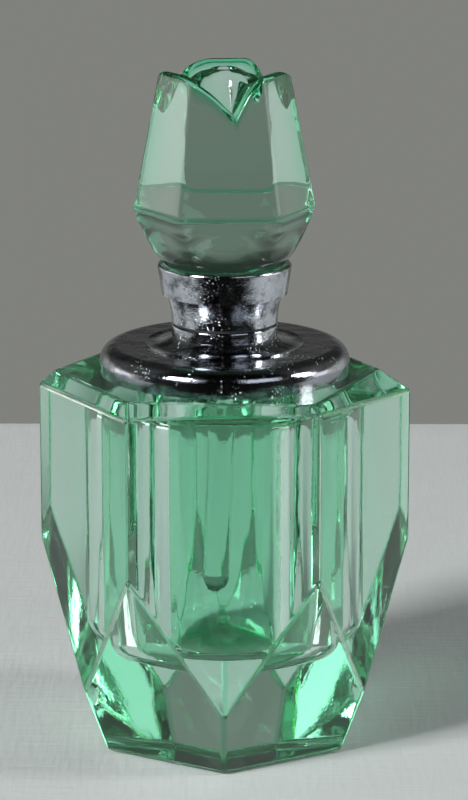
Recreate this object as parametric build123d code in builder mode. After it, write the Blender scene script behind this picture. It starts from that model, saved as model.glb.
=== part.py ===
"""Cut-glass dauber bottle: hexagonal glass body, chromed collar and a lift-out stopper with a rod.

Millimetres, +Z up. The origin is the centre of the foot, on the surface the bottle stands on.
The front is -Y, where one flat side of the body faces the viewer.
"""

import os
from math import cos, radians, sin, tan

from build123d import *

os.makedirs("parts", exist_ok=True)

# ---------------------------------------------------------------- driving sizes
# Glass body: a hexagonal prism whose corners are cut away towards a smaller, turned foot.
sides = 6
body_corner_radius = 28.5       # centre to a vertical edge
body_height = 58.2
facet_top = 31.5                # height at which a corner facet meets its vertical edge
foot_corner_radius = 20.7       # centre to a corner of the foot
foot_bevel = 0.5
# The top bevels are ground by hand, so each has its own size. Both lists start at the +X corner,
# and at the side after it, and go anticlockwise.
bevel_drops = (3.1, 2.2, 2.0, 2.2, 1.8, 1.0)     # depth at each vertical edge
bevel_insets = (3.4, 2.6, 2.2, 2.1, 3.0, 3.3)    # width at the middle of each side

# Reservoir
reservoir_radius = 13.5
reservoir_floor = 16.5          # glass under the reservoir
reservoir_floor_fillet = 3.0
reservoir_shoulder_fillet = 2.2
top_wall = 3.4                  # glass above the reservoir
mouth_radius = 8.9

# Collar
flange_radius = 19.15
flange_height = 4.2
flange_shoulder = 2.5           # round of the flange's upper edge
flange_wall = 0.9
neck_radius = 8.1
neck_height = 3.2               # flange top to the seam
neck_foot_radius = 12.1
neck_foot_edge = 0.25           # thickness of the foot's outer edge
neck_foot_rise = 1.1            # how far the foot sweeps up the neck
neck_bore_radius = 6.9
spigot_radius = 8.0             # part of the sleeve that goes down into the mouth
spigot_depth = 2.8              # below the top of the glass
retaining_ring_radius = 11.0
retaining_ring_height = 1.0

# Stopper cup
cup_height = 8.95
cup_waist_radius = 8.1
cup_flare_radius = 8.9          # just under the rim band
cup_rim_radius = 10.3
rim_band_bottom_radius = 9.6
rim_band_height = 4.6
rim_lip_round = 0.35
flare_share = 0.25              # how much of the flare's width lies below its middle
cup_mouth_radius = 9.5          # inside, at the lip
cup_well_radius = 6.8           # inside, at the floor
cup_floor = 1.3
seal_thickness = 0.31
seal_radius = 7.7

# Shank, cork and rod
shank_radius = 4.25
shank_length = 9.6
shank_lip_radius = 5.3
shank_lip_height = 0.6
stud_radius = 2.6
stud_head_radius = 3.9
stud_head_height = 0.9
socket_radius = 3.6
socket_depth = 7.5
rod_radius = 3.15
rod_floor_gap = 7.5             # rod tip to reservoir floor
rod_tip_flat = 0.1
rod_top_chamfer = 0.4
cork_lead_in = 0.8
rod_lean = 3.5                  # degrees: the rod is cemented a little out of true
rod_end_gap = 0.6               # cement above the rod in its socket

# Finial
finial_turn = 4.0               # degrees: how far the stopper is turned from the body's front
finial_height = 35.3            # foot of the glass to the highest petal
girdle_height = 13.3            # foot of the glass to the widest section
girdle_radius = 14.3            # centre to a corner there
crown_radius = 9.95             # centre to a corner at the height of the highest petal
finial_seat_depth = 4.6         # foot of the glass to the cup's lip
petals = 3
notch_depth = 7.4               # highest petal to the bottom of a notch between petals
notch_half_width = 8.2
petal_bowl_radius = 6.9         # inner edge of the petals at the top
petal_bowl_depth = 6.0
petal_bowl_floor_radius = 4.6
bud_radius = 4.2
bud_tip_radius = 1.9
bud_below_top = 1.1             # highest petal to the top of the bud
bud_dimple = 0.9

# Clearances
cement_gap = 0.03               # bedding to what it beds, on each side
cement_recess = 0.1             # cement under the cup's lip
cork_clearance = 0.05           # cork in the neck's bore, and on the shank
seat_gap = 0.02                 # seal washer to the neck and to the cup
finial_lip_gap = 0.4            # finial to the cup's wall, at the lip
finial_foot_gap = 0.28          # finial to the cup's wall, at the foot of the glass

# ---------------------------------------------------------------- levels
reservoir_top = body_height - top_wall
flange_top = body_height + flange_height
neck_top = flange_top + neck_height
spigot_bottom = body_height - spigot_depth
seal_bottom = neck_top + seat_gap
seal_top = seal_bottom + seal_thickness
cup_bottom = seal_top + seat_gap
cup_top = cup_bottom + cup_height
cup_floor_top = cup_bottom + cup_floor
rim_band_bottom = cup_top - rim_band_height
shank_top = cup_bottom
shank_bottom = shank_top - shank_length
socket_top = shank_bottom + socket_depth
finial_foot = cup_top - finial_seat_depth
finial_top = finial_foot + finial_height
girdle_level = finial_foot + girdle_height
finial_neck_level = cup_top - cement_recess
well_slope = (cup_mouth_radius - cup_well_radius) / (cup_top - cup_floor_top)
finial_neck_radius = cup_mouth_radius - finial_lip_gap      # where the glass enters the cup
finial_foot_radius = cup_mouth_radius - well_slope * finial_seat_depth - finial_foot_gap
cork_bottom = shank_bottom + shank_lip_height
cork_top = seal_bottom - cork_clearance
ring_top = flange_top - flange_wall
ring_bottom = ring_top - retaining_ring_height


def around(radius, degrees, height):
    """A point at a radius and a direction about the centre line."""
    return Vector(radius * cos(radians(degrees)), radius * sin(radians(degrees)), height)


def corner_facet_plane(corner):
    """The plane that cuts one corner of the body away towards the foot, facing out and down."""
    degrees = 360 / sides * corner
    foot_distance = foot_corner_radius * cos(radians(180 / sides))
    foot_point = around(foot_distance, degrees, 0)
    edge_point = around(body_corner_radius, degrees, facet_top)
    sideways = around(1, degrees + 90, 0)
    return Plane(origin=foot_point, x_dir=sideways, z_dir=sideways.cross(edge_point - foot_point))


def top_bevel_plane(side):
    """The plane of one ground bevel along the top, facing out and up."""
    degrees = 360 / sides * side
    next_degrees = degrees + 360 / sides
    start = around(body_corner_radius, degrees, body_height - bevel_drops[side])
    end = around(body_corner_radius, next_degrees, body_height - bevel_drops[(side + 1) % sides])
    inner_distance = body_corner_radius * cos(radians(180 / sides)) - bevel_insets[side]
    inner = around(inner_distance, degrees + 180 / sides, body_height)
    return Plane(origin=start, x_dir=end - start, z_dir=(end - start).cross(inner - start))


# ---------------------------------------------------------------- glass body
with BuildPart() as bottle:
    with BuildSketch():
        RegularPolygon(radius=body_corner_radius, side_count=sides)
    extrude(amount=body_height)
    for index in range(sides):
        split(bisect_by=corner_facet_plane(index), keep=Keep.BOTTOM)
        split(bisect_by=top_bevel_plane(index), keep=Keep.BOTTOM)
    chamfer(bottle.faces().sort_by(Axis.Z)[0].edges(), length=foot_bevel)
    with BuildSketch(Plane.XZ) as reservoir:
        with BuildLine():
            Polyline(
                (0, reservoir_floor),
                (reservoir_radius, reservoir_floor),
                (reservoir_radius, reservoir_top),
                (mouth_radius, reservoir_top),
                (mouth_radius, body_height),
                (0, body_height),
                close=True,
            )
        make_face()
        reservoir_wall = reservoir.vertices().group_by(Axis.X)[-1].sort_by(Axis.Y)
        fillet(reservoir_wall[0], radius=reservoir_floor_fillet)
        fillet(reservoir_wall[1], radius=reservoir_shoulder_fillet)
    revolve(axis=Axis.Z, mode=Mode.SUBTRACT)
bottle.part.label = "bottle"
export_step(bottle.part, "parts/bottle.step")

# ---------------------------------------------------------------- collar
with BuildPart() as collar_flange:
    with BuildSketch(Plane.XZ) as flange_section:
        with BuildLine():
            Polyline(
                (spigot_radius + cement_gap, flange_top),
                (flange_radius, flange_top),
                (flange_radius, body_height),
                (flange_radius - flange_wall, body_height),
                (flange_radius - flange_wall, ring_top),
                (spigot_radius + cement_gap, ring_top),
                close=True,
            )
        make_face()
        outer_edge = flange_section.vertices().group_by(Axis.X)[-1].sort_by(Axis.Y)[-1]
        fillet(outer_edge, radius=flange_shoulder)
        inner_edge = flange_section.vertices().sort_by_distance((flange_radius - flange_wall, ring_top))[0]
        fillet(inner_edge, radius=flange_shoulder - flange_wall)
    revolve(axis=Axis.Z)
collar_flange.part.label = "collar_flange"
export_step(collar_flange.part, "parts/collar_flange.step")

with BuildPart() as neck_sleeve:
    with BuildSketch(Plane.XZ):
        with BuildLine():
            inside = Line((neck_bore_radius, neck_top), (neck_bore_radius, spigot_bottom))
            spigot_end = Line(inside @ 1, (spigot_radius, spigot_bottom))
            spigot_side = Line(spigot_end @ 1, (spigot_radius, flange_top))
            foot_under = Line(spigot_side @ 1, (neck_foot_radius, flange_top))
            foot_edge = Line(foot_under @ 1, (neck_foot_radius, flange_top + neck_foot_edge))
            foot_sweep = ThreePointArc(
                foot_edge @ 1,
                (
                    neck_radius + 0.28 * (neck_foot_radius - neck_radius),
                    flange_top + neck_foot_edge + 0.28 * neck_foot_rise,
                ),
                (neck_radius, flange_top + neck_foot_edge + neck_foot_rise),
            )
            neck_side = Line(foot_sweep @ 1, (neck_radius, neck_top))
            Line(neck_side @ 1, inside @ 0)
        make_face()
    revolve(axis=Axis.Z)
    top_rims = neck_sleeve.edges().filter_by(GeomType.CIRCLE).group_by(Axis.Z)[-1]
    fillet(top_rims.sort_by(SortBy.RADIUS)[-1], radius=0.3)
neck_sleeve.part.label = "neck_sleeve"
export_step(neck_sleeve.part, "parts/neck_sleeve.step")

with BuildPart() as retaining_ring:
    with BuildSketch(Plane.XY.offset(ring_bottom)):
        Circle(retaining_ring_radius)
        Circle(spigot_radius + cement_gap, mode=Mode.SUBTRACT)
    extrude(amount=retaining_ring_height - cement_gap)
retaining_ring.part.label = "retaining_ring"
export_step(retaining_ring.part, "parts/retaining_ring.step")

with BuildPart() as collar_cement:
    with BuildSketch(Plane.XZ) as cement_section:
        with BuildLine():
            Polyline(
                (spigot_radius + cement_gap, spigot_bottom),
                (spigot_radius + cement_gap, ring_bottom - cement_gap),
                (retaining_ring_radius + cement_gap, ring_bottom - cement_gap),
                (retaining_ring_radius + cement_gap, ring_top - cement_gap),
                (flange_radius - flange_wall - cement_gap, ring_top - cement_gap),
                (flange_radius - flange_wall - cement_gap, body_height + cement_gap),
                (mouth_radius - cement_gap, body_height + cement_gap),
                (mouth_radius - cement_gap, spigot_bottom),
                close=True,
            )
        make_face()
        cement_edge = cement_section.vertices().group_by(Axis.X)[-1].sort_by(Axis.Y)[-1]
        fillet(cement_edge, radius=flange_shoulder - flange_wall)
    revolve(axis=Axis.Z)
collar_cement.part.label = "collar_cement"
export_step(collar_cement.part, "parts/collar_cement.step")

with BuildPart() as seal_washer:
    with BuildSketch(Plane.XY.offset(seal_bottom)):
        Circle(seal_radius)
        Circle(shank_radius + cork_clearance, mode=Mode.SUBTRACT)
    extrude(amount=seal_thickness)
seal_washer.part.label = "seal_washer"
export_step(seal_washer.part, "parts/seal_washer.step")

# ---------------------------------------------------------------- stopper cup and shank
with BuildPart() as stopper_cup:
    with BuildSketch(Plane.XZ) as cup_section:
        with BuildLine():
            floor_under = Line((stud_radius + cement_gap, cup_bottom), (cup_waist_radius, cup_bottom))
            flare_middle = (
                cup_waist_radius + flare_share * (cup_flare_radius - cup_waist_radius),
                (cup_bottom + rim_band_bottom) / 2,
            )
            flare = ThreePointArc(floor_under @ 1, flare_middle, (cup_flare_radius, rim_band_bottom))
            Polyline(
                flare @ 1,
                (rim_band_bottom_radius, rim_band_bottom),
                (cup_rim_radius, cup_top),
                (cup_mouth_radius, cup_top),
                (cup_well_radius, cup_floor_top),
                (stud_radius + cement_gap, cup_floor_top),
                floor_under @ 0,
            )
        make_face()
        fillet(cup_section.vertices().group_by(Axis.X)[-1], radius=rim_lip_round)
    revolve(axis=Axis.Z)
stopper_cup.part.label = "stopper_cup"
export_step(stopper_cup.part, "parts/stopper_cup.step")

with BuildPart() as stopper_shank:
    with BuildSketch(Plane.XZ):
        with BuildLine():
            Polyline(
                (0, socket_top),
                (socket_radius, socket_top),
                (socket_radius, shank_bottom),
                (shank_lip_radius, shank_bottom),
                (shank_lip_radius, shank_bottom + shank_lip_height),
                (shank_radius, shank_bottom + shank_lip_height),
                (shank_radius, shank_top),
                (stud_radius, shank_top),
                (stud_radius, cup_floor_top),
                (stud_head_radius, cup_floor_top),
                (stud_head_radius, cup_floor_top + stud_head_height),
                (0, cup_floor_top + stud_head_height),
                close=True,
            )
        make_face()
    revolve(axis=Axis.Z)
    lip_rims = stopper_shank.edges().filter_by(GeomType.CIRCLE).group_by(Axis.Z)[0]
    chamfer(lip_rims.sort_by(SortBy.RADIUS)[-1], length=0.2)
stopper_shank.part.label = "stopper_shank"
export_step(stopper_shank.part, "parts/stopper_shank.step")

with BuildPart() as stopper_cork:
    with BuildSketch(Plane.XY.offset(cork_bottom)):
        Circle(neck_bore_radius - cork_clearance)
        Circle(shank_radius + cement_gap, mode=Mode.SUBTRACT)
    extrude(amount=cork_top - cork_bottom)
    cork_rims = stopper_cork.edges().filter_by(GeomType.CIRCLE).group_by(Axis.Z)[0]
    chamfer(cork_rims.sort_by(SortBy.RADIUS)[-1], length=cork_lead_in)
stopper_cork.part.label = "stopper_cork"
export_step(stopper_cork.part, "parts/stopper_cork.step")

# ---------------------------------------------------------------- dauber rod
# The rod leans about the middle of its socket, towards -X.
rod_direction = around(1, 0, 1 / tan(radians(rod_lean)))
socket_middle = Plane(origin=(0, 0, socket_top - socket_depth / 2), z_dir=rod_direction)
rod_above = socket_depth / 2 - rod_end_gap
rod_below = socket_top - socket_depth / 2 - reservoir_floor - rod_floor_gap

with BuildPart() as dauber:
    with BuildSketch(socket_middle.offset(-rod_below)):
        Circle(rod_radius)
    extrude(amount=rod_below + rod_above)
    rod_ends = dauber.edges().filter_by(GeomType.CIRCLE).sort_by(Axis.Z)
    fillet(rod_ends[0], radius=rod_radius - rod_tip_flat)
    chamfer(rod_ends[-1], length=rod_top_chamfer)
dauber.part.label = "dauber"
export_step(dauber.part, "parts/dauber.step")

with BuildPart() as dauber_cement:
    with BuildSketch(Plane.XY.offset(shank_bottom)):
        Circle(socket_radius - cement_gap)
    extrude(amount=socket_depth - cement_gap)
    with BuildSketch(socket_middle.offset(-socket_depth)):
        Circle(rod_radius + cement_gap)
    extrude(amount=socket_depth + rod_above + cement_gap, mode=Mode.SUBTRACT)
dauber_cement.part.label = "dauber_cement"
export_step(dauber_cement.part, "parts/dauber_cement.step")

# ---------------------------------------------------------------- finial
finial_plane = Plane(origin=(0, 0, finial_foot), x_dir=around(1, finial_turn, 0), z_dir=(0, 0, 1))
petal_width = 360 / petals

with BuildPart() as finial:
    # Below the girdle: six flat facets that run into a cone, which is round where the cup holds it.
    with BuildSketch(finial_plane.offset(finial_neck_level - finial_foot)):
        RegularPolygon(radius=finial_neck_radius / cos(radians(180 / sides)), side_count=sides)
    with BuildSketch(finial_plane.offset(girdle_height)):
        RegularPolygon(radius=girdle_radius, side_count=sides)
    loft()
    with BuildSketch(finial_plane):
        Circle(girdle_radius)
    extrude(amount=finial_neck_level - finial_foot)
    with BuildSketch(Plane.XZ):
        with BuildLine():
            Polyline(
                (0, finial_foot),
                (finial_foot_radius, finial_foot),
                (finial_neck_radius, finial_neck_level),
                (girdle_radius, girdle_level),
                (0, girdle_level),
                close=True,
            )
        make_face()
    revolve(axis=Axis.Z, mode=Mode.INTERSECT)
    # Above the girdle: six long facets up to the petals.
    with BuildSketch(finial_plane.offset(girdle_height)):
        RegularPolygon(radius=girdle_radius, side_count=sides)
    with BuildSketch(finial_plane.offset(finial_height)):
        RegularPolygon(radius=crown_radius, side_count=sides)
    loft()
    # The hollow inside the petals, around the bud.
    with BuildSketch(Plane.XZ):
        with BuildLine():
            Polyline(
                (0, finial_top - petal_bowl_depth),
                (petal_bowl_floor_radius, finial_top - petal_bowl_depth),
                (petal_bowl_radius, finial_top),
                (0, finial_top),
                close=True,
            )
        make_face()
    revolve(axis=Axis.Z, mode=Mode.SUBTRACT)
    # One notch between each two petals, the first at the front.
    for petal in range(petals):
        outward = around(1, finial_turn - 90 + petal_width * petal, 0)
        notch_plane = Plane(origin=(0, 0, finial_top), x_dir=Vector(0, 0, 1).cross(outward), z_dir=outward)
        with BuildSketch(notch_plane):
            with BuildLine():
                Polyline((0, -notch_depth), (notch_half_width, 0), (-notch_half_width, 0), close=True)
            make_face()
        extrude(amount=girdle_radius, mode=Mode.SUBTRACT)
    # The bud in the middle, with a dimple in its tip.
    with BuildSketch(Plane.XZ):
        with BuildLine():
            Polyline(
                (0, finial_top - notch_depth),
                (bud_radius, finial_top - notch_depth),
                (bud_tip_radius + bud_dimple, finial_top - bud_below_top),
                (bud_tip_radius, finial_top - bud_below_top),
                (0, finial_top - bud_below_top - bud_dimple),
                close=True,
            )
        make_face()
    revolve(axis=Axis.Z)
finial.part.label = "finial"
export_step(finial.part, "parts/finial.step")

with BuildPart() as finial_cement:
    with BuildSketch(Plane.XZ):
        with BuildLine():
            Polyline(
                (0, cup_floor_top + stud_head_height + cement_gap),
                (stud_head_radius + cement_gap, cup_floor_top + stud_head_height + cement_gap),
                (stud_head_radius + cement_gap, cup_floor_top + cement_gap),
                (cup_well_radius - cement_gap, cup_floor_top + cement_gap),
                (cup_mouth_radius - well_slope * cement_recess - cement_gap, finial_neck_level),
                (finial_neck_radius + cement_gap, finial_neck_level),
                (finial_foot_radius + cement_gap, finial_foot - cement_gap),
                (0, finial_foot - cement_gap),
                close=True,
            )
        make_face()
    revolve(axis=Axis.Z)
finial_cement.part.label = "finial_cement"
export_step(finial_cement.part, "parts/finial_cement.step")
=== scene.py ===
"""Looks of the cut-glass dauber bottle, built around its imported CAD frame. Metres, +Z up."""

import random
from math import cos, exp, hypot, pi, radians, sin

import bmesh
import bpy
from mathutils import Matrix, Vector


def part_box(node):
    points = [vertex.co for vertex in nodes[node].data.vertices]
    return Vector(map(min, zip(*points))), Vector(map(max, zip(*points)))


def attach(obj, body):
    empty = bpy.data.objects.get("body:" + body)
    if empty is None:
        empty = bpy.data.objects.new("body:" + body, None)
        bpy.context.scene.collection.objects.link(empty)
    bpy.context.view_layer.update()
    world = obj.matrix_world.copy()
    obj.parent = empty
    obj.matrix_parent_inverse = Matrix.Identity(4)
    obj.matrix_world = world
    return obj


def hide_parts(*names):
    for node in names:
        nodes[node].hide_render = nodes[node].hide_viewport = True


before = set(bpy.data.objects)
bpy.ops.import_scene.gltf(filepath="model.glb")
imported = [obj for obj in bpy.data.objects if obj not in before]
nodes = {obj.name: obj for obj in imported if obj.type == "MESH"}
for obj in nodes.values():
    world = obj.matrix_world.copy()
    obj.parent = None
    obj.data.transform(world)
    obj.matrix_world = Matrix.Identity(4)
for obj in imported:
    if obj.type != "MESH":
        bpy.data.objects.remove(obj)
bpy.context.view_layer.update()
MM = 0.001

# ---------------------------------------------------------------- sizes, in millimetres
# Glass body: the outside comes from the CAD node, the edges get the small round that polishing leaves.
EDGE_ROUND = 0.3
PAINTED_SHADE_WIDTH = 0.5           # painted shade: the deeper green painted along an edge fades out over this width
SMALLEST_FACET = 4              # square millimetres; anything smaller is part of a rounded edge
MOUTH_RADIUS = 8.9
RESERVOIR_RADIUS = 13.5
RESERVOIR_FLOOR = 16.5
RESERVOIR_TOP = 54.8
FLOOR_FILLET = 3.0
SHOULDER_FILLET = 2.2
RIPPLE_DEPTH = 0.022            # upright ripples that the mould left in the reservoir's wall
RESERVOIR_COLUMNS = 360
RESERVOIR_PAINTED_SHADOW = 0.95           # how much of the edges' painted deep green the reservoir's wall shows, as a painted green shadow
WAVE_COUNTS = (5, 8, 13, 17, 22, 31, 43)        # ripples around the reservoir, from coarse to fine
# Finial. Its radii are those of the upright edges, from the axis.
FINIAL_TURN = 4.0
FOOT_LEVEL = 70.3
FOOT_RADIUS = 7.55
NECK_LEVEL = 72.6
NECK_RADIUS = 8.3
LIP_LEVEL = 74.8                # the cup's lip
GIRDLE_LEVEL = 83.6
GIRDLE_RADIUS = 14.3
# (height, radius) from the lip to the girdle, where the sides swell a little
BOWL = ((LIP_LEVEL, 9.1), (75.8, 9.85), (76.8, 10.75), (78.7, 12.05), (81.5, 13.6),
        (GIRDLE_LEVEL, GIRDLE_RADIUS))
SEAM_REACH = 0.18               # the plain sides stop this far above and below the girdle
SEAM_INSET = 0.06               # the mould seam at the girdle is sunk by this
# (height from the girdle, how proud) of the seam's rings
SEAM = ((-0.11, 0.06), (-0.05, 0.0), (-0.02, 0.03), (0.02, 0.03), (0.05, 0.0), (0.11, 0.06))
SEAM_WANDER = 0.05              # how far the seam strays up and down on its way round
CROWN_RADIUS = 9.95
CROWN_LEVEL = 105.6
CORNER_SHARPNESS = 18           # larger is a sharper upright edge
FINIAL_COLUMNS = 432
PETALS = 3
NOTCH_TURN = 11.5               # degrees from the front to the nearest notch
NOTCH_LEVEL = 98.6              # lowest point of the rim, between two petals
PETAL_RISE = 5.8                # notch to the highest part of a petal's edge
PETAL_CLIMB = 30                # degrees over which a petal climbs from a notch
PETAL_FALL = 58                 # degrees over which it falls to the next notch
BACK_LIFT = 0.6                 # how much the back petal stands above the other two
PETAL_WALL = 1.7                # thickness of a petal's rounded edge
PETAL_ROUND = 0.8               # height of that rounding
GROOVE_DEPTH = 1.5              # petal's edge to the groove behind it
BUD_LEVEL = 104.6
BUD_FOLD = 0.35                 # how far the bud's folds stand up
EYE_RADIUS = 1.9
FLOOR_GAP = 0.15                # the cloth lies this far under the foot

# ---------------------------------------------------------------- room and camera, in metres
FLOOR_SIDE = 0.6                # the cloth reaches this far left and right
FLOOR_FRONT = -0.085
FLOOR_BACK = 0.19
FLOOR_DROP = 0.03               # how far the cloth hangs down past the front and back edges
WALL_GREY = (0.216, 0.221, 0.205)
# The room's brightness, as shares of the grey wall
ROOM_LEVEL = 0.85               # near the table's level
ROOM_OVERHEAD = 0.16
ROOM_FRONT = 0.04               # in front, for gloss only
ROOM_SIDES = 4.0                # left and right, for gloss only
# (name, direction in degrees from +X, height, distance, (width, length), watts, colour)
LIGHTS = (
    ("key_left", -138, 1.05, 1.6, (0.45, 0.45), 42, (1.0, 1.0, 0.98)),
    ("key_right", -8, 0.75, 1.6, (0.35, 0.6), 13, (1.0, 0.99, 0.97)),
    ("panel_left", -130, 0.64, 1.1, (0.74, 0.48), 0.9, (0.95, 1.0, 1.05)),
    ("panel_right", -54, 0.64, 1.1, (0.72, 0.48), 1.4, (0.94, 1.0, 1.08)),
    ("low_left", 164, 0.06, 1.0, (0.5, 0.26), 0.5, (1.0, 1.0, 1.0)),
    ("low_right", 8, 0.16, 1.0, (0.4, 0.25), 0.35, (1.0, 1.0, 1.0)),
)
LIGHTS_AIM = (0, 0, 0.05)
CAMERA_PLACE = (0.0039, -0.495, 0.1766)
CAMERA_DOWN = 0.244             # radians below the horizon
CAMERA_PAN = 0.005              # radians to the left of straight ahead
CAMERA_LENS = 149.4             # millimetres
CAMERA_SENSOR = 36              # millimetres

# ---------------------------------------------------------------- colours
GREEN = (0.0, 0.94, 0.52)
# Painted shade: the deeper green that stands in for light's long path through the glass along its edges
BODY_PAINTED_SHADE = (0.42, 0.95, 0.68)
FINIAL_PAINTED_SHADE = (0.20, 0.90, 0.55)
ROD_TINT = (0.5, 0.95, 0.8)
FAINT_TINT = (0.96, 1.0, 0.98)
WHITE = (1.0, 1.0, 1.0)
HAZE_GREY = (0.42, 0.45, 0.51)
PIT_GREY = (0.72, 0.72, 0.72)
BRIGHT_PLATE = (0.62, 0.65, 0.70)
DARK_PLATE = (0.12, 0.125, 0.14)
# (node, material, bright, dark, haze below a height, haze above it, that height in metres)
CHROMED = (
    ("collar_flange", "chrome_flange", (0.36, 0.37, 0.41), (0.24, 0.25, 0.28), 0.25, 0.05, 0.0618),
    ("neck_sleeve", "chrome_neck", BRIGHT_PLATE, DARK_PLATE, 0.10, 0.10, 0.064),
    ("stopper_cup", "chrome_cup", BRIGHT_PLATE, DARK_PLATE, 0.08, 0.35, 0.0703),
)
# (node, material, bright, dull)
BRASS = (
    ("retaining_ring", "brass_ring", (0.62, 0.47, 0.24), (0.38, 0.29, 0.17)),
    ("stopper_shank", "brass_shank", (0.62, 0.47, 0.24), (0.34, 0.27, 0.17)),
)
# (node, material, pale, dark, grain per metre, relief in metres, roughness)
GRAINY = (
    ("collar_cement", "cement_collar", (0.72, 0.70, 0.60), (0.52, 0.49, 0.40), 900, 0.00008, 0.8),
    ("dauber_cement", "cement_rod", (0.70, 0.68, 0.60), (0.50, 0.47, 0.40), 900, 0.00008, 0.8),
    ("finial_cement", "cement_finial", (0.30, 0.36, 0.30), (0.16, 0.20, 0.17), 900, 0.00008, 0.7),
    ("stopper_cork", "cork_plug", (0.62, 0.42, 0.25), (0.42, 0.26, 0.14), 700, 0.00015, 0.75),
    ("seal_washer", "rubber_seal", (0.06, 0.06, 0.06), (0.03, 0.03, 0.03), 1500, 0.00003, 0.55),
)
CLOTH = (0.50, 0.53, 0.535)
PALE_CLOTH = (0.55, 0.58, 0.585)


# ---------------------------------------------------------------- mesh helpers
def new_object(name, mesh_data):
    """A new object in the scene that holds a bmesh, which is then freed."""
    mesh = bpy.data.meshes.new(name)
    mesh_data.to_mesh(mesh)
    mesh_data.free()
    piece = bpy.data.objects.new(name, mesh)
    bpy.context.scene.collection.objects.link(piece)
    return piece


def ring(mesh_data, columns, radius_at, height_at):
    """One ring of vertices; radius and height, in millimetres, may change with the direction."""
    vertices = []
    for column in range(columns):
        angle = 2 * pi * column / columns
        radius = radius_at(angle) * MM
        place = (radius * cos(angle), radius * sin(angle), height_at(angle) * MM)
        vertices.append(mesh_data.verts.new(place))
    return vertices


def skin(mesh_data, lower, upper):
    """Quads between two rings of the same length, facing away from the axis if upper is above."""
    count = len(lower)
    for column in range(count):
        after = (column + 1) % count
        mesh_data.faces.new((lower[column], lower[after], upper[after], upper[column]))


def cap(mesh_data, loop, height, upwards):
    """Closes a ring with a fan about a centre vertex."""
    centre = mesh_data.verts.new((0, 0, height * MM))
    count = len(loop)
    for column in range(count):
        pair = (loop[column], loop[(column + 1) % count])
        mesh_data.faces.new((*pair, centre) if upwards else (*reversed(pair), centre))


def arc(centre_x, centre_z, radius, start, end, steps):
    """Points (x, z) along an arc, with its start and end in degrees."""
    points = []
    for step in range(steps + 1):
        angle = radians(start + (end - start) * step / steps)
        points.append((centre_x + radius * cos(angle), centre_z + radius * sin(angle)))
    return points


# ---------------------------------------------------------------- glass body
def reservoir_profile():
    """(radius, height) from the mouth down the reservoir's wall to the middle of its floor."""
    wall_top = RESERVOIR_TOP - SHOULDER_FILLET
    wall_bottom = RESERVOIR_FLOOR + FLOOR_FILLET
    wall_steps = 24
    points = [(MOUTH_RADIUS, RESERVOIR_TOP)]
    points += arc(RESERVOIR_RADIUS - SHOULDER_FILLET, wall_top, SHOULDER_FILLET, 90, 0, 8)
    for step in range(1, wall_steps):
        points.append((RESERVOIR_RADIUS, wall_top + (wall_bottom - wall_top) * step / wall_steps))
    points += arc(RESERVOIR_RADIUS - FLOOR_FILLET, wall_bottom, FLOOR_FILLET, 0, -90, 10)
    for radius in (8.0, 5.0, 2.0):
        points.append((radius, RESERVOIR_FLOOR))
    return points


def ripple(waves, angle, height):
    """How far the reservoir's wall stands in from its true radius, in millimetres.
    Each wave is (count around, phase, drift per millimetre of height, share)."""
    total = 0
    for count, phase, drift, share in waves:
        total += share * sin(count * angle + phase + drift * height)
    return RIPPLE_DEPTH * total


def cut_outside(mesh_data):
    """The CAD node's own facets, flat and whole, without the mouth and the reservoir."""
    for vertex in nodes["bottle"].data.vertices:
        reach = hypot(vertex.co.x, vertex.co.y)
        if reach >= (RESERVOIR_RADIUS + 1) * MM:
            mesh_data.verts.new(vertex.co)
    hull = bmesh.ops.convex_hull(mesh_data, input=mesh_data.verts)
    spare = list(set(hull["geom_interior"] + hull["geom_unused"]))
    bmesh.ops.delete(mesh_data, geom=spare, context="VERTS")
    bmesh.ops.dissolve_limit(mesh_data, angle_limit=radians(0.6), verts=mesh_data.verts,
                             edges=mesh_data.edges)


def polish_edges(mesh_data, depth):
    """Small rounds on every edge; the layer depth holds painted shade, 1 on them and 0 on the facets
    between them.
    """
    bmesh.ops.bevel(mesh_data, geom=mesh_data.edges[:], offset=EDGE_ROUND * MM, segments=3, profile=0.5,
                    affect="EDGES", clamp_overlap=True)
    for vertex in mesh_data.verts:
        vertex[depth] = 1.0
    facets = [face for face in mesh_data.faces if face.calc_area() > SMALLEST_FACET * MM * MM]
    bmesh.ops.inset_individual(mesh_data, faces=facets, thickness=PAINTED_SHADE_WIDTH * MM)
    for vertex in (one for face in facets for one in face.verts):
        vertex[depth] = 0.0
    lowest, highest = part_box("bottle")
    for vertex in mesh_data.verts:
        vertex.co = [min(max(value, low), high)
                     for value, low, high in zip(vertex.co, lowest, highest)]


def hollow_out(mesh_data, depth, top_height):
    """The reservoir's skin from the mouth down. Returns the ring of the mouth."""
    chance = random.Random(11)
    waves = []
    for count in WAVE_COUNTS:
        phase, drift = chance.uniform(0, 2 * pi), chance.uniform(-0.03, 0.03)
        waves.append((count, phase, drift, 1.3 / count ** 0.35))
    mouth_ring = ring(mesh_data, RESERVOIR_COLUMNS, lambda angle: MOUTH_RADIUS, lambda angle: top_height)
    rings = [mouth_ring]
    for radius, height in reservoir_profile():
        share = max(0, min(1, (radius - 9.5) / 4))      # no ripples near the mouth and mid floor
        rings.append(ring(mesh_data, RESERVOIR_COLUMNS,
                          lambda angle: radius - share * abs(ripple(waves, angle, height)),
                          lambda angle: height))
    # painted shadow: the reservoir's wall below the mouth takes this share of the painted deep green
    for vertex in (one for made in rings[2:] for one in made):
        vertex[depth] = RESERVOIR_PAINTED_SHADOW
    for upper, lower in zip(rings, rings[1:]):
        skin(mesh_data, upper, lower)
    cap(mesh_data, rings[-1], RESERVOIR_FLOOR, True)
    return mouth_ring


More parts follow.
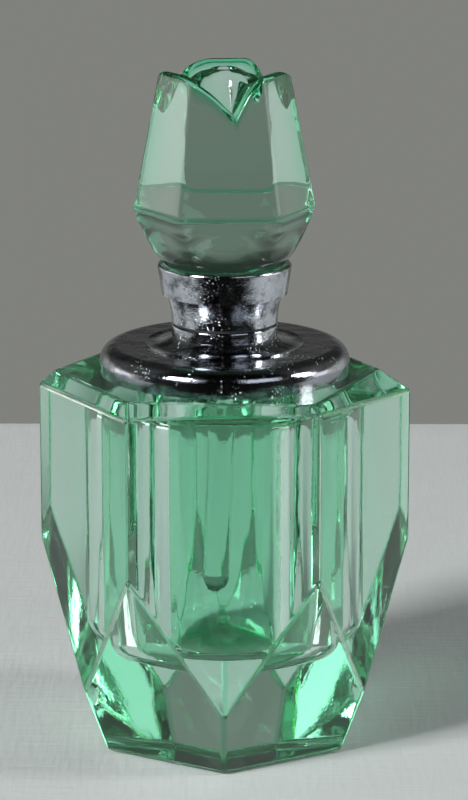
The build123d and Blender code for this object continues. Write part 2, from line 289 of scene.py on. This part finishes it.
def make_bottle():
    """The body: facets with rounded edges outside, and a rippled reservoir inside."""
    mesh_data = bmesh.new()
    cut_outside(mesh_data)
    # depth is the layer that holds the painted shade
    depth = mesh_data.verts.layers.float.new("painted_green_shade")
    polish_edges(mesh_data, depth)
    top = max(mesh_data.faces, key=lambda face: (face.calc_center_median().z, face.calc_area()))
    outline = list(top.edges)
    top_height = top.calc_center_median().z / MM
    mesh_data.faces.remove(top)
    mouth_ring = hollow_out(mesh_data, depth, top_height)
    mouth = [edge for edge in mesh_data.edges if all(vertex in mouth_ring for vertex in edge.verts)]
    bmesh.ops.triangle_fill(mesh_data, use_beauty=True, edges=outline + mouth)
    bmesh.ops.recalc_face_normals(mesh_data, faces=mesh_data.faces)
    for face in mesh_data.faces:
        face.smooth = True
    piece = new_object("bottle_glass", mesh_data)
    piece.data.set_sharp_from_angle(angle=radians(18))
    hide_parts("bottle")
    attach(piece, "bottle")
    return piece


# ---------------------------------------------------------------- finial
def hexagon(angle, corner_radius):
    """Radius of a hexagon with rounded corners in one direction."""
    flat = corner_radius * cos(pi / 6)
    total = 0
    for side in range(6):
        facing = cos(angle - radians(FINIAL_TURN + 30 + 60 * side))
        total += max(0, facing) ** CORNER_SHARPNESS
    return flat / total ** (1 / CORNER_SHARPNESS)


def smooth_step(value):
    """Eases from 0 to 1 as value goes from 0 to 1, and stays there outside."""
    value = max(0, min(1, value))
    return value * value * (3 - 2 * value)


def bowl_radius(height):
    """Corner radius between the cup's lip and the girdle."""
    for (low, low_radius), (high, high_radius) in zip(BOWL, BOWL[1:]):
        if height <= high:
            share = (height - low) / (high - low)
            return low_radius + share * (high_radius - low_radius)
    return GIRDLE_RADIUS


def outer_radius(angle, height):
    """Outside of the finial, from the cup's lip to the petals."""
    if height >= GIRDLE_LEVEL:
        share = (height - GIRDLE_LEVEL) / (CROWN_LEVEL - GIRDLE_LEVEL)
        return hexagon(angle, GIRDLE_RADIUS + share * (CROWN_RADIUS - GIRDLE_RADIUS))
    corner = bowl_radius(height)
    share = smooth_step((height - LIP_LEVEL) / (GIRDLE_LEVEL - LIP_LEVEL) * 1.15)
    return (1 - share) * corner + share * hexagon(angle, corner)


def rim_level(angle):
    """Height of the petals' edge. Each climbs steeply from one notch and falls slowly to the next."""
    around = (angle * 180 / pi + 90 - NOTCH_TURN) % 360
    past = around % (360 / PETALS)
    climb = sin(pi / 2 * min(1, past / PETAL_CLIMB)) ** 0.85
    fall = sin(pi / 2 * min(1, (360 / PETALS - past) / PETAL_FALL)) ** 1.05
    lift = BACK_LIFT if 120 < around < 240 else 0
    return NOTCH_LEVEL + (PETAL_RISE + lift) * min(climb, fall)


def painted_side_shade(angle):
    """Painted shade: how deep the painted green stands about the finial's left and right upright edges.
    """
    off = (angle * 180 / pi - FINIAL_TURN + 90) % 180 - 90
    return 0.9 * exp(-(off / 30) ** 2)


def add_sides(add):
    """The finial's outside, from its foot in the cup past the girdle and its seam up to the petals."""
    add(lambda angle: FOOT_RADIUS - 0.5, lambda angle: FOOT_LEVEL)
    add(lambda angle: FOOT_RADIUS - 0.12, lambda angle: FOOT_LEVEL + 0.08)
    add(lambda angle: FOOT_RADIUS, lambda angle: FOOT_LEVEL + 0.3)
    add(lambda angle: NECK_RADIUS, lambda angle: NECK_LEVEL)
    bowl_steps, side_steps = 26, 33
    for step in range(bowl_steps + 1):
        height = LIP_LEVEL + (GIRDLE_LEVEL - SEAM_REACH - LIP_LEVEL) * step / bowl_steps
        # painted shade: deeper green painted near the lip and about the left and right edges
        painted_lip_shade = 0.8 * exp(-((height - LIP_LEVEL) / 2.0) ** 2)
        add(lambda angle: outer_radius(angle, height), lambda angle: height,
            lambda angle: max(painted_lip_shade, painted_side_shade(angle)))
    # the seam's rings carry the full painted shade
    for offset, proud in SEAM:
        add(lambda angle: outer_radius(angle, GIRDLE_LEVEL) + proud - SEAM_INSET,
            lambda angle: GIRDLE_LEVEL + offset + SEAM_WANDER * sin(5 * angle) * sin(13 * angle + 1),
            lambda angle: 1.0)
    for step in range(1, side_steps + 1):
        share = step / side_steps

        def level(angle):
            start = GIRDLE_LEVEL + SEAM_REACH
            return start + (rim_level(angle) - PETAL_ROUND - start) * share

        # painted shade: deep green painted just under the round of the petals' edge
        def painted_rim_shade(angle):
            under = rim_level(angle) - PETAL_ROUND - level(angle)
            return max(exp(-(under / 0.9) ** 2), painted_side_shade(angle))

        add(lambda angle: outer_radius(angle, level(angle)), level, painted_rim_shade)


def wall_radius(angle):
    """Outside of the finial where the round of the petals' edge begins."""
    return outer_radius(angle, rim_level(angle) - PETAL_ROUND)


def add_petal_edge(add):
    """The round over the petals' edge, from outside to inside."""
    steps = 15
    for step in range(1, steps):
        turn = pi * step / steps
        # the round over the petals' edge carries the full painted shade
        add(lambda angle: wall_radius(angle) - PETAL_WALL / 2 * (1 - cos(turn)),
            lambda angle: rim_level(angle) - PETAL_ROUND + PETAL_ROUND * sin(turn) ** 0.85,
            lambda angle: 1.0)


def add_bud(add):
    """The groove behind the petals and the furled bud, which rises from it to an eye in its tip."""
    tip_radius = EYE_RADIUS + 0.35
    steps = 24
    for step in range(1, steps + 1):
        share = step / steps

        def bud_radius(angle):
            start = wall_radius(angle) - PETAL_WALL
            return start + (tip_radius - start) * share

        def bud_height(angle):
            start = rim_level(angle) - PETAL_ROUND
            floor = rim_level(angle) - GROOVE_DEPTH
            groove = start + (floor - start) * smooth_step(share / 0.22)
            rise = smooth_step((share - 0.18) / 0.9)
            twist = sin(3 * angle + 4.2 * share + 0.4)
            fold = BUD_FOLD * twist * sin(pi * smooth_step((share - 0.2) / 0.8))
            return groove + (BUD_LEVEL - floor) * rise + fold

        # painted shade fades from the groove up the bud
        add(bud_radius, bud_height, lambda angle: 0.8 * (1 - share) ** 2 + 0.15)
    add(lambda angle: EYE_RADIUS + 0.05, lambda angle: BUD_LEVEL + 0.10)
    add(lambda angle: EYE_RADIUS - 0.25, lambda angle: BUD_LEVEL + 0.06)
    add(lambda angle: EYE_RADIUS - 0.55, lambda angle: BUD_LEVEL - 0.28)
    add(lambda angle: EYE_RADIUS - 0.95, lambda angle: BUD_LEVEL - 0.50)
    add(lambda angle: 0.5, lambda angle: BUD_LEVEL - 0.48)


def make_finial():
    """The rosebud finial as one closed skin, from its foot over the petals to the eye of the bud."""
    mesh_data = bmesh.new()
    depth = mesh_data.verts.layers.float.new("painted_green_shade")
    rings = []

    # painted_shade_at gives each vertex its painted shade in the layer
    def add(radius_at, height_at, painted_shade_at=lambda angle: 0.0):
        made = ring(mesh_data, FINIAL_COLUMNS, radius_at, height_at)
        for column, vertex in enumerate(made):
            vertex[depth] = painted_shade_at(2 * pi * column / FINIAL_COLUMNS)
        rings.append(made)

    add_sides(add)
    add_petal_edge(add)
    add_bud(add)
    cap(mesh_data, rings[0], FOOT_LEVEL, False)
    for lower, upper in zip(rings, rings[1:]):
        skin(mesh_data, lower, upper)
    cap(mesh_data, rings[-1], BUD_LEVEL - 0.5, True)
    bmesh.ops.recalc_face_normals(mesh_data, faces=mesh_data.faces)
    for face in mesh_data.faces:
        face.smooth = True
    piece = new_object("finial_glass", mesh_data)
    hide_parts("finial")
    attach(piece, "stopper")
    return piece


# ---------------------------------------------------------------- materials
class Shader:
    """A material's node tree, with short calls for the nodes used here."""

    def __init__(self, name):
        self.material = bpy.data.materials.new(name)
        self.material.use_nodes = True
        self.tree = self.material.node_tree
        self.tree.nodes.clear()
        self.output = self.tree.nodes.new("ShaderNodeOutputMaterial")
        self.surface = self.tree.nodes.new("ShaderNodeBsdfPrincipled")
        self.tree.links.new(self.surface.outputs[0], self.output.inputs["Surface"])
        self.place = self.tree.nodes.new("ShaderNodeTexCoord").outputs["Object"]

    def link(self, source, target):
        """Joins two sockets."""
        self.tree.links.new(source, target)

    def set(self, **values):
        """Constants on the surface's own sockets; an underscore stands for a space."""
        for name, value in values.items():
            self.surface.inputs[name.replace("_", " ")].default_value = value

    def stretched(self, scale):
        """The object's own coordinates, scaled along each axis."""
        node = self.tree.nodes.new("ShaderNodeMapping")
        node.inputs["Scale"].default_value = scale
        self.link(self.place, node.inputs["Vector"])
        return node.outputs[0]

    def noise(self, scale, detail, stretch=None, roughness=0.55):
        """Cloudy values from 0 to 1. Scale is in features per metre."""
        node = self.tree.nodes.new("ShaderNodeTexNoise")
        node.inputs["Scale"].default_value = scale
        node.inputs["Detail"].default_value = detail
        node.inputs["Roughness"].default_value = roughness
        self.link(self.stretched(stretch) if stretch else self.place, node.inputs["Vector"])
        return node.outputs["Fac"]

    def cells(self, scale, stretch=None):
        """Distance from the middle of the nearest of many random cells."""
        node = self.tree.nodes.new("ShaderNodeTexVoronoi")
        node.inputs["Scale"].default_value = scale
        self.link(self.stretched(stretch) if stretch else self.place, node.inputs["Vector"])
        return node.outputs["Distance"]

    def ramp(self, source, low, high, low_value, high_value):
        """Maps source from low..high to low_value..high_value, held at both ends."""
        node = self.tree.nodes.new("ShaderNodeMapRange")
        names = ("From Min", "From Max", "To Min", "To Max")
        for name, value in zip(names, (low, high, low_value, high_value)):
            node.inputs[name].default_value = value
        self.link(source, node.inputs["Value"])
        return node.outputs["Result"]

    def math(self, operation, first, second):
        """Two values, each a socket or a number, joined by a sum or a product."""
        node = self.tree.nodes.new("ShaderNodeMath")
        node.operation = operation
        for socket, value in zip(node.inputs, (first, second)):
            if isinstance(value, (int, float)):
                socket.default_value = value
            else:
                self.link(value, socket)
        return node.outputs[0]

    def mix(self, share, first, second):
        """A colour between two colours, by share."""
        node = self.tree.nodes.new("ShaderNodeMix")
        node.data_type = "RGBA"
        self.link(share, node.inputs["Factor"])
        for name, value in (("A", first), ("B", second)):
            socket = [one for one in node.inputs if one.name == name and one.type == "RGBA"][0]
            if isinstance(value, tuple):
                socket.default_value = (*value, 1)
            else:
                self.link(value, socket)
        return [one for one in node.outputs if one.type == "RGBA"][0]

    def bump(self, height, distance, under=None):
        """Fine relief, distance metres high, on top of the relief under it."""
        node = self.tree.nodes.new("ShaderNodeBump")
        node.inputs["Distance"].default_value = distance
        node.inputs["Strength"].default_value = 1.0
        self.link(height, node.inputs["Height"])
        if under is not None:
            self.link(under, node.inputs["Normal"])
        return node.outputs["Normal"]

    def attribute(self, name):
        """A value that the mesh carries at its vertices."""
        node = self.tree.nodes.new("ShaderNodeAttribute")
        node.attribute_name = name
        return node.outputs["Fac"]

    def height(self):
        """Height over the foot, in metres, with the stopper at rest."""
        node = self.tree.nodes.new("ShaderNodeSeparateXYZ")
        self.link(self.place, node.inputs[0])
        return node.outputs["Z"]

    def absorb(self, colour, density):
        """Colours the light by the depth of material that it crosses."""
        node = self.tree.nodes.new("ShaderNodeVolumeAbsorption")
        node.inputs["Color"].default_value = (*colour, 1)
        node.inputs["Density"].default_value = density
        self.link(node.outputs[0], self.output.inputs["Volume"])


def glass(name, colour, density, waviness, painted_shade_colour=None, bending=1.515):
    """Pressed glass: coloured through its depth, with painted shade, a deeper green, along its edges;
    smeared, scratched and wavy.
    """
    shader = Shader(name)
    shader.set(Transmission_Weight=1.0, IOR=bending)
    smears = shader.ramp(shader.noise(70, 5), 0.45, 0.75, 0.0, 0.035)
    scratches = shader.ramp(shader.noise(900, 1, (1, 0.12, 0.3)), 0.70, 0.80, 0.0, 0.12)
    rough = shader.math("ADD", smears, scratches)
    tint = shader.mix(shader.noise(40, 2), FAINT_TINT, WHITE)
    # Painted shade: where the layer says so, the deeper green is mixed into the colour and chips roughen
    # it.
    if painted_shade_colour is not None:
        edge = shader.attribute("painted_green_shade")
        tint = shader.mix(edge, tint, painted_shade_colour)
        chips = shader.math("MULTIPLY", shader.ramp(edge, 0.5, 1.0, 0.0, 1.0),
                            shader.ramp(shader.noise(600, 4), 0.45, 0.7, 0.0, 0.15))
        rough = shader.math("ADD", rough, chips)
    shader.link(rough, shader.surface.inputs["Roughness"])
    shader.link(tint, shader.surface.inputs["Base Color"])
    slow = shader.bump(shader.noise(110, 1), waviness)
    fine = shader.bump(shader.noise(1600, 2), 0.000004, slow)
    shader.link(fine, shader.surface.inputs["Normal"])
    shader.absorb(colour, density)
    return shader.material


def chrome(name, bright, dark, haze_below, haze_above, split_height):
    """Old chrome plate: worn in patches between bright and dark, pitted, scratched and hazy.
    The haze has one strength under split_height and another over it."""
    shader = Shader(name)
    shader.set(Metallic=1.0)
    mottle = shader.ramp(shader.noise(330, 8, roughness=0.75), 0.40, 0.62, 0.0, 1.0)
    blend = 0.0003
    strength = shader.ramp(shader.height(), split_height - blend, split_height + blend,
                           haze_below, haze_above)
    haze = shader.math("MULTIPLY", mottle, strength)
    crowding = shader.ramp(shader.noise(260, 5), 0.50, 0.66, 0.0, 1.0)
    pits = shader.math("MULTIPLY", shader.ramp(shader.cells(2300), 0.12, 0.30, 1.0, 0.0), crowding)
    rough = shader.math("ADD", shader.ramp(haze, 0, 1, 0.06, 0.38), shader.ramp(pits, 0, 1, 0.0, 0.4))
    shader.link(rough, shader.surface.inputs["Roughness"])
    stain = shader.ramp(shader.noise(240, 9, roughness=0.75), 0.47, 0.58, 0.0, 1.0)
    plate = shader.mix(stain, bright, dark)
    hazed = shader.mix(haze, plate, HAZE_GREY)
    shader.link(shader.mix(pits, hazed, PIT_GREY), shader.surface.inputs["Base Color"])
    dents = shader.bump(pits, -0.00010)
    wavy = shader.bump(shader.noise(420, 6, roughness=0.65), 0.00007, dents)
    scratches = shader.noise(2400, 2, (1, 1, 0.15))
    shader.link(shader.bump(scratches, 0.000004, wavy), shader.surface.inputs["Normal"])
    return shader.material


def dull_metal(name, bright, dull):
    """Brass, dulled in patches, with fine turning marks around it."""
    shader = Shader(name)
    shader.set(Metallic=1.0)
    patches = shader.ramp(shader.noise(500, 5), 0.35, 0.65, 0.0, 1.0)
    shader.link(shader.mix(patches, bright, dull), shader.surface.inputs["Base Color"])
    shader.link(shader.ramp(patches, 0, 1, 0.28, 0.55), shader.surface.inputs["Roughness"])
    turned = shader.noise(900, 2, (0.2, 0.2, 6.0))
    shader.link(shader.bump(turned, 0.00003), shader.surface.inputs["Normal"])
    return shader.material


def grainy(name, pale, dark, grain, depth, roughness):
    """Cement, cork or rubber: grain in colour, roughness and relief."""
    shader = Shader(name)
    speckle = shader.ramp(shader.noise(grain, 6, roughness=0.7), 0.35, 0.68, 0.0, 1.0)
    pores = shader.ramp(shader.cells(grain * 1.6, (1, 1, 2.2)), 0.05, 0.25, 0.0, 1.0)
    body = shader.mix(speckle, dark, pale)
    shade = tuple(channel * 0.45 for channel in dark)
    shader.link(shader.mix(pores, shade, body), shader.surface.inputs["Base Color"])
    rough = shader.ramp(speckle, 0, 1, roughness, min(1, roughness + 0.15))
    shader.link(rough, shader.surface.inputs["Roughness"])
    relief = shader.math("ADD", shader.math("MULTIPLY", pores, 0.6), speckle)
    shader.link(shader.bump(relief, depth), shader.surface.inputs["Normal"])
    return shader.material


def cloth(name):
    """Pale cloth with a fine weave."""
    shader = Shader(name)
    weave = shader.math("ADD", shader.noise(900, 1, (1, 0.12, 1)), shader.noise(900, 1, (0.12, 1, 1)))
    tone = shader.mix(shader.noise(30, 3), CLOTH, PALE_CLOTH)
    shader.link(tone, shader.surface.inputs["Base Color"])
    shader.link(shader.ramp(weave, 0.7, 1.3, 0.55, 0.75), shader.surface.inputs["Roughness"])
    shader.set(Sheen_Weight=0.15)
    shader.link(shader.bump(weave, 0.00012), shader.surface.inputs["Normal"])
    return shader.material


def dress(piece, material):
    """Every material slot of the object shows this one material."""
    if not piece.material_slots:
        piece.data.materials.append(material)
    for slot in piece.material_slots:
        slot.material = material


# ---------------------------------------------------------------- floor, light and camera
def floor_section():
    """(y, z) from under the table's front edge, over its top, to under its back edge."""
    bend_steps, along, level = 12, 24, -FLOOR_GAP * MM
    section = []
    for step in range(bend_steps):
        turn = pi / 2 * (1 - step / bend_steps)
        section.append((FLOOR_FRONT - FLOOR_DROP * sin(turn), level - FLOOR_DROP * (1 - cos(turn))))
    for step in range(along + 1):
        section.append((FLOOR_FRONT + (FLOOR_BACK - FLOOR_FRONT) * step / along, level))
    for step in range(1, bend_steps + 1):
        turn = pi / 2 * step / bend_steps
        section.append((FLOOR_BACK + FLOOR_DROP * sin(turn), level - FLOOR_DROP * (1 - cos(turn))))
    return section


def make_floor():
    """A plain pale cloth on a narrow table; it falls away past the front and back edges."""
    mesh_data = bmesh.new()
    across = 60
    grid = []
    for y, z in floor_section():
        line = []
        for column in range(across + 1):
            x = -FLOOR_SIDE + 2 * FLOOR_SIDE * column / across
            line.append(mesh_data.verts.new((x, y, z)))
        grid.append(line)
    for lower, upper in zip(grid, grid[1:]):
        for column in range(across):
            corners = (lower[column], lower[column + 1], upper[column + 1], upper[column])
            mesh_data.faces.new(corners).smooth = True
    floor = new_object("floor", mesh_data)
    dress(floor, cloth("pale_cloth"))


def area_light(name, direction, height, distance, size, power, colour):
    """A soft rectangular light that faces the bottle."""
    lamp = bpy.data.lights.new(name, "AREA")
    lamp.shape = "RECTANGLE"
    lamp.size, lamp.size_y = size
    lamp.energy = power
    lamp.color = colour
    thing = bpy.data.objects.new(name, lamp)
    bpy.context.scene.collection.objects.link(thing)
    angle = radians(direction)
    thing.location = (distance * cos(angle), distance * sin(angle), height)
    aim = Vector(LIGHTS_AIM) - thing.location
    thing.rotation_euler = aim.to_track_quat("-Z", "Y").to_euler()


def make_world():
    """The camera sees a plain grey wall. All other rays meet a room that is grey near the table's
    level and dark overhead. For reflections, but not for light seen through glass, it is also dark
    in front and bright at both sides."""
    world = bpy.data.worlds.new("studio")
    bpy.context.scene.world = world
    world.use_nodes = True
    tree = world.node_tree
    tree.nodes.clear()

    def add(kind, *sources, **settings):
        node = tree.nodes.new(kind)
        for name, value in settings.items():
            setattr(node, name, value)
        for socket, source in zip(node.inputs, sources):
            if isinstance(source, (int, float)):
                socket.default_value = source
            else:
                tree.links.new(source, socket)
        return node

    def math(operation, *sources):
        return add("ShaderNodeMath", *sources, operation=operation).outputs[0]

    def ease(source, low, high, low_value, high_value):
        return add("ShaderNodeMapRange", source, low, high, low_value, high_value,
                   interpolation_type="SMOOTHSTEP").outputs["Result"]

    direction = add("ShaderNodeSeparateXYZ", add("ShaderNodeTexCoord").outputs["Generated"]).outputs
    path = add("ShaderNodeLightPath").outputs
    reflected = math("SUBTRACT", 1.0, path["Is Transmission Ray"])
    gloss = math("MULTIPLY", path["Is Glossy Ray"], reflected)
    everywhere = ease(direction["Z"], 0.08, 0.32, ROOM_LEVEL, ROOM_OVERHEAD)
    front = ease(direction["Y"], -0.35, 0.15, ROOM_FRONT, 1.0)
    sides = ease(math("ABSOLUTE", direction["X"]), 0.40, 0.80, 1.0, ROOM_SIDES)
    for_gloss = math("MULTIPLY", math("MULTIPLY", front, sides), gloss)
    by_ray = math("ADD", math("SUBTRACT", 1.0, gloss), for_gloss)
    room = math("MULTIPLY", everywhere, by_ray)
    background = add("ShaderNodeBackground")
    background.inputs["Color"].default_value = (*WALL_GREY, 1)
    tree.links.new(math("MAXIMUM", room, path["Is Camera Ray"]), background.inputs["Strength"])
    add("ShaderNodeOutputWorld", background.outputs[0])


def make_camera():
    """The viewing angle: about half a metre away, looking down by 14 degrees."""
    lens = bpy.data.cameras.new("camera")
    lens.sensor_width = CAMERA_SENSOR
    lens.lens = CAMERA_LENS
    lens.clip_start = 0.01
    camera = bpy.data.objects.new("camera", lens)
    bpy.context.scene.collection.objects.link(camera)
    camera.location = CAMERA_PLACE
    camera.rotation_euler = (pi / 2 - CAMERA_DOWN, 0, CAMERA_PAN)
    bpy.context.scene.camera = camera


def set_light_paths():
    """Enough bounces for light to cross several walls of glass, and plain colour management."""
    scene = bpy.context.scene
    scene.cycles.max_bounces = 24
    scene.cycles.transmission_bounces = 24
    scene.cycles.glossy_bounces = 8
    scene.cycles.diffuse_bounces = 3
    scene.cycles.volume_bounces = 0
    scene.cycles.transparent_max_bounces = 16
    scene.cycles.sample_clamp_indirect = 6.0
    scene.cycles.blur_glossy = 0.3
    scene.cycles.use_denoising = True
    scene.view_settings.view_transform = "Standard"


# ---------------------------------------------------------------- the whole bottle
bottle = make_bottle()
finial = make_finial()
dress(bottle, glass("green_glass_body", GREEN, 10.0, 0.00008, BODY_PAINTED_SHADE))
dress(finial, glass("green_glass_finial", GREEN, 15.0, 0.00016, FINIAL_PAINTED_SHADE))
dress(nodes["dauber"], glass("clear_glass_rod", ROD_TINT, 6.0, 0.00003, bending=1.36))
for recipe, table in ((chrome, CHROMED), (dull_metal, BRASS), (grainy, GRAINY)):
    for node, *look in table:
        dress(nodes[node], recipe(*look))
make_floor()
make_world()
for light in LIGHTS:
    area_light(*light)
make_camera()
set_light_paths()
